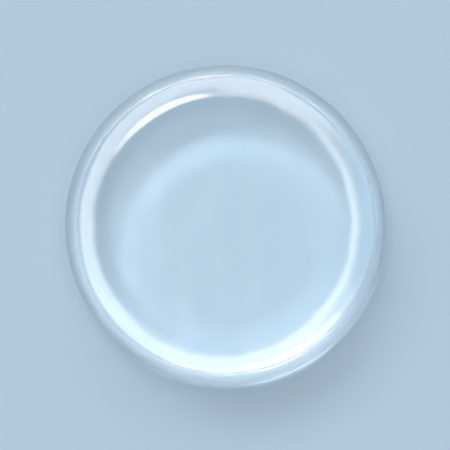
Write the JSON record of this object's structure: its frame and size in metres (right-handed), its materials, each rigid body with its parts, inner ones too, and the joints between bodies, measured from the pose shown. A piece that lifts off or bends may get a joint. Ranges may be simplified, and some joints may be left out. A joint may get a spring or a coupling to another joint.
{
  "type": "cabinet door bumper",
  "caption": "Clear round self-adhesive bumper pad: a low moulded disc with a flat top, a round shoulder and a drafted wall, stuck inside a cabinet door to cushion its closing.",
  "frame": {"origin": "centre of the flat adhesive face, on the surface that the bumper is stuck to", "axes": "+Z out of the adhesive face, up through the middle of the strike face; +X and +Y lie in the adhesive face, and the disc is the same all round"},
  "size_m": [0.0126, 0.0126, 0.0035],
  "materials": {
    "clear_polyurethane": "polished"
  },
  "bodies": {
    "root": {"bumper_disc": "clear_polyurethane"}
  },
  "joints": []
}
